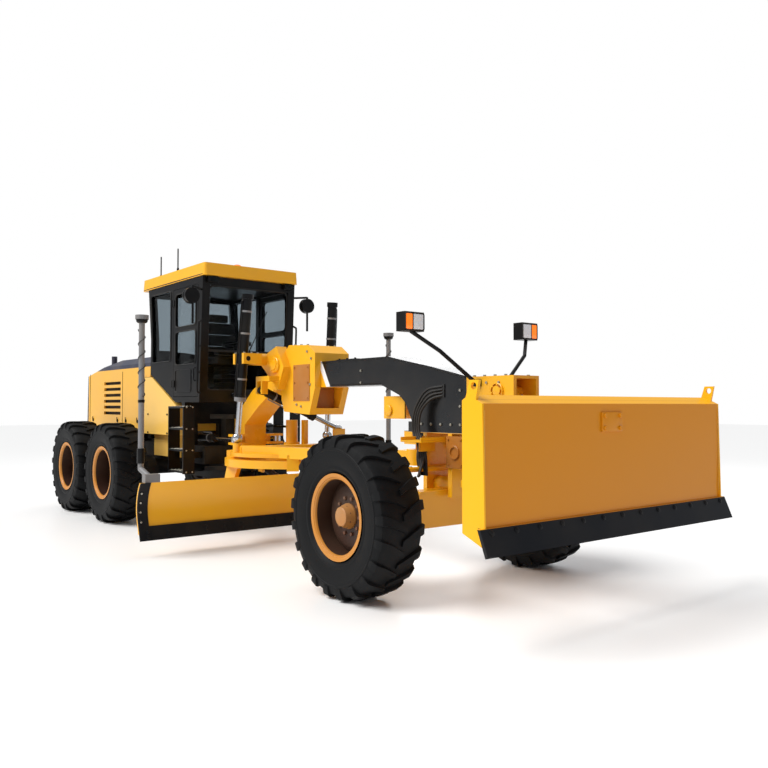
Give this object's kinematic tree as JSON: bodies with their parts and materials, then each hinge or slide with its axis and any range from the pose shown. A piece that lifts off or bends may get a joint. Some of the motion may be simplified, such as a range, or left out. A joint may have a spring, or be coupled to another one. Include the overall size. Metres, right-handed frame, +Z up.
{
  "type": "motor grader",
  "caption": "Articulated motor grader with a cab, tandem rear wheels, leaning steered front wheels, a blade hung from a turning circle and a front dozer blade on lifting arms",
  "frame": {"origin": "middle of the bounding box, on the ground", "axes": "+X towards the front dozer blade, +Y to the machine's left, +Z up"},
  "size_m": [10.178, 3.66, 3.6618],
  "materials": {
    "body_yellow": "satin machine paint",
    "rim_gold": "dusty satin paint",
    "cab_black": "semi-matt",
    "cylinder_black": "satin",
    "rod_chrome": "polished",
    "iron_grey": "painted grey",
    "edge_black": "worn",
    "tyre_rubber": "matt",
    "tinted_glass": "clear tinted"
  },
  "bodies": {
    "rear_frame": {"rear_frame": "body_yellow", "engine_block": "iron_grey", "hood": "body_yellow", "tandem_cases": "body_yellow", "cab_shell": "cab_black", "cab_roof": "body_yellow", "cab_glass": "tinted_glass", "seat": "cab_black", "console": "cab_black", "ladders": "cab_black", "side_tanks": "body_yellow"},
    "front_frame": {"front_frame": "body_yellow", "lift_saddle": "body_yellow", "front_axle": "body_yellow", "nose_frame": "body_yellow", "headlamps": "cab_black"},
    "lean_bar": {"lean_bar": "body_yellow"},
    "tie_rod": {"tie_rod": "body_yellow"},
    "drawbar_ball": {"drawbar_ball": "body_yellow"},
    "drawbar": {"drawbar": "body_yellow"},
    "circle": {"circle": "body_yellow"},
    "blade_carrier": {"blade_carrier": "body_yellow"},
    "moldboard": {"moldboard": "body_yellow", "moldboard_edge": "edge_black", "masts": "iron_grey"},
    "dozer_blade": {"dozer_blade": "body_yellow"},
    "dozer_arms": {"dozer_arms": "body_yellow"},
    "dozer_link": {"dozer_link": "body_yellow"},
    "wheel_front_right": {"rim_front_right": "rim_gold", "tyre_front_right": "tyre_rubber"},
    "wheel_mid_right": {"rim_mid_right": "rim_gold", "tyre_mid_right": "tyre_rubber"},
    "wheel_rear_right": {"rim_rear_right": "rim_gold", "tyre_rear_right": "tyre_rubber"},
    "door_right": {"door_right": "cab_black"},
    "lean_right": {"lean_bracket_right": "body_yellow"},
    "knuckle_right": {"knuckle_right": "body_yellow"},
    "wheel_front_left": {"rim_front_left": "rim_gold", "tyre_front_left": "tyre_rubber"},
    "wheel_mid_left": {"rim_mid_left": "rim_gold", "tyre_mid_left": "tyre_rubber"},
    "wheel_rear_left": {"rim_rear_left": "rim_gold", "tyre_rear_left": "tyre_rubber"},
    "door_left": {"door_left": "cab_black"},
    "lean_left": {"lean_bracket_left": "body_yellow"},
    "knuckle_left": {"knuckle_left": "body_yellow"},
    "articulation_right_barrel": {"articulation_right_barrel": "cylinder_black"},
    "articulation_right_rod": {"articulation_right_rod": "rod_chrome"},
    "articulation_left_barrel": {"articulation_left_barrel": "cylinder_black"},
    "articulation_left_rod": {"articulation_left_rod": "rod_chrome"},
    "lift_barrel_right": {"lift_barrel_right": "cylinder_black"},
    "lift_rod_right": {"lift_rod_right": "rod_chrome"},
    "lift_barrel_left": {"lift_barrel_left": "cylinder_black"},
    "lift_rod_left": {"lift_rod_left": "rod_chrome"},
    "shift_barrel": {"shift_barrel": "cylinder_black"},
    "shift_rod": {"shift_rod": "rod_chrome"},
    "tip_barrel": {"tip_barrel": "cylinder_black"},
    "tip_rod": {"tip_rod": "rod_chrome"},
    "dozer_lift_barrel": {"dozer_lift_barrel": "cylinder_black"},
    "dozer_lift_rod": {"dozer_lift_rod": "rod_chrome"}
  },
  "joints": [
    {"name": "spin_mid_right", "type": "hinge", "parent": "rear_frame", "child": "wheel_mid_right", "pos_m": [-2.33, -1.075, 0.665], "axis": [0, 1, 0], "continuous": true},
    {"name": "spin_rear_right", "type": "hinge", "parent": "rear_frame", "child": "wheel_rear_right", "pos_m": [-3.87, -1.075, 0.665], "axis": [0, 1, 0], "continuous": true},
    {"name": "door_right_open", "type": "hinge", "parent": "rear_frame", "child": "door_right", "pos_m": [-1.4, -0.6733, 2.38], "axis": [0, 0, -1], "range_deg": [0, 90]},
    {"name": "spin_mid_left", "type": "hinge", "parent": "rear_frame", "child": "wheel_mid_left", "pos_m": [-2.33, 1.075, 0.665], "axis": [0, 1, 0], "continuous": true},
    {"name": "spin_rear_left", "type": "hinge", "parent": "rear_frame", "child": "wheel_rear_left", "pos_m": [-3.87, 1.075, 0.665], "axis": [0, 1, 0], "continuous": true},
    {"name": "door_left_open", "type": "hinge", "parent": "rear_frame", "child": "door_left", "pos_m": [-1.4, 0.6733, 2.38], "axis": [0, 0, 1], "range_deg": [0, 90]},
    {"name": "articulation", "type": "hinge", "parent": "rear_frame", "child": "front_frame", "pos_m": [-0.64, 0, 1.1], "axis": [0, 0, -1], "range_deg": [-27, 27]},
    {"name": "articulation_right_swing", "type": "hinge", "parent": "rear_frame", "child": "articulation_right_barrel", "pos_m": [-1.56, -0.265, 1.15], "axis": [0, 0, 1], "range_deg": [-6, 6]},
    {"name": "articulation_right_stroke", "type": "slide", "parent": "articulation_right_barrel", "child": "articulation_right_rod", "axis": [0.9996, -0.0296, 0], "range_m": [-0.137, 0.137]},
    {"name": "articulation_left_swing", "type": "hinge", "parent": "rear_frame", "child": "articulation_left_barrel", "pos_m": [-1.56, 0.265, 1.15], "axis": [0, 0, 1], "range_deg": [-6, 6]},
    {"name": "articulation_left_stroke", "type": "slide", "parent": "articulation_left_barrel", "child": "articulation_left_rod", "axis": [0.9996, 0.0296, 0], "range_m": [-0.137, 0.137]},
    {"name": "lean_right", "type": "hinge", "parent": "front_frame", "child": "lean_right", "pos_m": [3.16, -0.69, 0.585], "axis": [1, 0, 0], "range_deg": [-17, 17]},
    {"name": "steer_right", "type": "hinge", "parent": "lean_right", "child": "knuckle_right", "pos_m": [3.16, -0.8, 0.665], "axis": [0, 0, -1], "range_deg": [-45, 45]},
    {"name": "spin_front_right", "type": "hinge", "parent": "knuckle_right", "child": "wheel_front_right", "pos_m": [3.16, -1.075, 0.665], "axis": [0, 1, 0], "continuous": true},
    {"name": "lean_left", "type": "hinge", "parent": "front_frame", "child": "lean_left", "pos_m": [3.16, 0.69, 0.585], "axis": [1, 0, 0], "range_deg": [-17, 17]},
    {"name": "steer_left", "type": "hinge", "parent": "lean_left", "child": "knuckle_left", "pos_m": [3.16, 0.8, 0.665], "axis": [0, 0, -1], "range_deg": [-45, 45]},
    {"name": "spin_front_left", "type": "hinge", "parent": "knuckle_left", "child": "wheel_front_left", "pos_m": [3.16, 1.075, 0.665], "axis": [0, 1, 0], "continuous": true},
    {"name": "lean_bar", "type": "hinge", "parent": "lean_left", "child": "lean_bar", "pos_m": [3.088, 0.69, 1], "axis": [1, 0, 0], "range_deg": [-17, 17]},
    {"name": "tie_rod", "type": "slide", "parent": "front_frame", "child": "tie_rod", "axis": [0, 1, 0], "range_m": [-0.1205, 0.1205]},
    {"name": "drawbar_yaw", "type": "hinge", "parent": "front_frame", "child": "drawbar_ball", "pos_m": [2.74, 0, 1.08], "axis": [0, 0, -1], "range_deg": [-8, 8]},
    {"name": "blade_lift", "type": "hinge", "parent": "drawbar_ball", "child": "drawbar", "pos_m": [2.74, 0, 1.08], "axis": [0, 1, 0], "range_deg": [-16.5, 7.3]},
    {"name": "circle_turn", "type": "hinge", "parent": "drawbar", "child": "circle", "pos_m": [0.44, 0, 0.92], "axis": [0, 0, 1], "range_deg": [-45, 45]},
    {"name": "blade_tilt", "type": "hinge", "parent": "circle", "child": "blade_carrier", "pos_m": [0.2, 0, 0.4], "axis": [0, 1, 0], "range_deg": [-10, 30]},
    {"name": "blade_shift", "type": "slide", "parent": "blade_carrier", "child": "moldboard", "axis": [0, 1, 0], "range_m": [-0.55, 0.55]},
    {"name": "lift_right_swing", "type": "hinge", "parent": "front_frame", "child": "lift_barrel_right", "pos_m": [0.38, -0.6, 2.1], "axis": [1, 0, 0], "range_deg": [-20, 20]},
    {"name": "lift_right_stroke", "type": "slide", "parent": "lift_barrel_right", "child": "lift_rod_right", "axis": [-0.0995, -0.0221, -0.9948], "range_m": [-0.312, 0.704]},
    {"name": "lift_left_swing", "type": "hinge", "parent": "front_frame", "child": "lift_barrel_left", "pos_m": [0.38, 0.6, 2.1], "axis": [1, 0, 0], "range_deg": [-20, 20]},
    {"name": "lift_left_stroke", "type": "slide", "parent": "lift_barrel_left", "child": "lift_rod_left", "axis": [-0.0995, 0.0221, -0.9948], "range_m": [-0.312, 0.704]},
    {"name": "drawbar_shift_swing", "type": "hinge", "parent": "front_frame", "child": "shift_barrel", "pos_m": [0.47, -0.4, 1.74], "axis": [0.9866, -0.1329, -0.095], "range_deg": [-30.4, 13.5]},
    {"name": "drawbar_shift_stroke", "type": "slide", "parent": "shift_barrel", "child": "shift_rod", "axis": [0.0825, 0.9073, -0.4124], "range_m": [-0.28, 0.28]},
    {"name": "blade_tip_swing", "type": "hinge", "parent": "circle", "child": "tip_barrel", "pos_m": [-0.14, 0, 0.8], "axis": [0, 1, 0], "range_deg": [-0.6, 1.6]},
    {"name": "blade_tip_stroke", "type": "slide", "parent": "tip_barrel", "child": "tip_rod", "axis": [0.9373, 0, -0.3485], "range_m": [-0.045, 0.134]},
    {"name": "dozer_lift", "type": "hinge", "parent": "front_frame", "child": "dozer_arms", "pos_m": [3.9, 0, 0.96], "axis": [0, -1, 0], "range_deg": [-47, 10]},
    {"name": "dozer_level", "type": "hinge", "parent": "dozer_arms", "child": "dozer_blade", "pos_m": [4.7, 0, 1.08], "axis": [0, -1, 0], "range_deg": [-10, 47]},
    {"name": "dozer_link", "type": "hinge", "parent": "front_frame", "child": "dozer_link", "pos_m": [3.9, 0, 1.33], "axis": [0, -1, 0], "range_deg": [-47, 10]},
    {"name": "dozer_cylinder_swing", "type": "hinge", "parent": "front_frame", "child": "dozer_lift_barrel", "pos_m": [3.905, 0, 1.69], "axis": [0, -1, 0], "range_deg": [-17, 3.7]},
    {"name": "dozer_cylinder_stroke", "type": "slide", "parent": "dozer_lift_barrel", "child": "dozer_lift_rod", "axis": [0.6839, 0, -0.7295], "range_m": [-0.078, 0.362]}
  ],
  "couplings": [
    {"joint": "articulation_right_swing", "follows": "articulation", "ratio": -0.22},
    {"joint": "articulation_right_stroke", "follows": "articulation", "m_per_rad": -0.29},
    {"joint": "articulation_left_swing", "follows": "articulation", "ratio": -0.22},
    {"joint": "articulation_left_stroke", "follows": "articulation", "m_per_rad": 0.29},
    {"joint": "lean_left", "follows": "lean_right", "ratio": 1},
    {"joint": "steer_left", "follows": "steer_right", "ratio": 1},
    {"joint": "lean_bar", "follows": "lean_right", "ratio": -1},
    {"joint": "tie_rod", "follows": "steer_right", "m_per_rad": 0.153},
    {"joint": "lift_right_swing", "follows": "drawbar_yaw", "ratio": 2.5},
    {"joint": "lift_right_stroke", "follows": "blade_lift", "m_per_rad": -2.44},
    {"joint": "lift_left_swing", "follows": "drawbar_yaw", "ratio": 2.5},
    {"joint": "lift_left_stroke", "follows": "blade_lift", "m_per_rad": -2.44},
    {"joint": "drawbar_shift_swing", "follows": "blade_lift", "ratio": 1.84},
    {"joint": "drawbar_shift_stroke", "follows": "drawbar_yaw", "m_per_rad": 2},
    {"joint": "blade_tip_swing", "follows": "blade_tilt", "ratio": 0.05},
    {"joint": "blade_tip_stroke", "follows": "blade_tilt", "m_per_rad": 0.254},
    {"joint": "dozer_level", "follows": "dozer_lift", "ratio": -1},
    {"joint": "dozer_link", "follows": "dozer_lift", "ratio": 1},
    {"joint": "dozer_cylinder_swing", "follows": "dozer_lift", "ratio": 0.36},
    {"joint": "dozer_cylinder_stroke", "follows": "dozer_lift", "m_per_rad": -0.44}
  ]
}
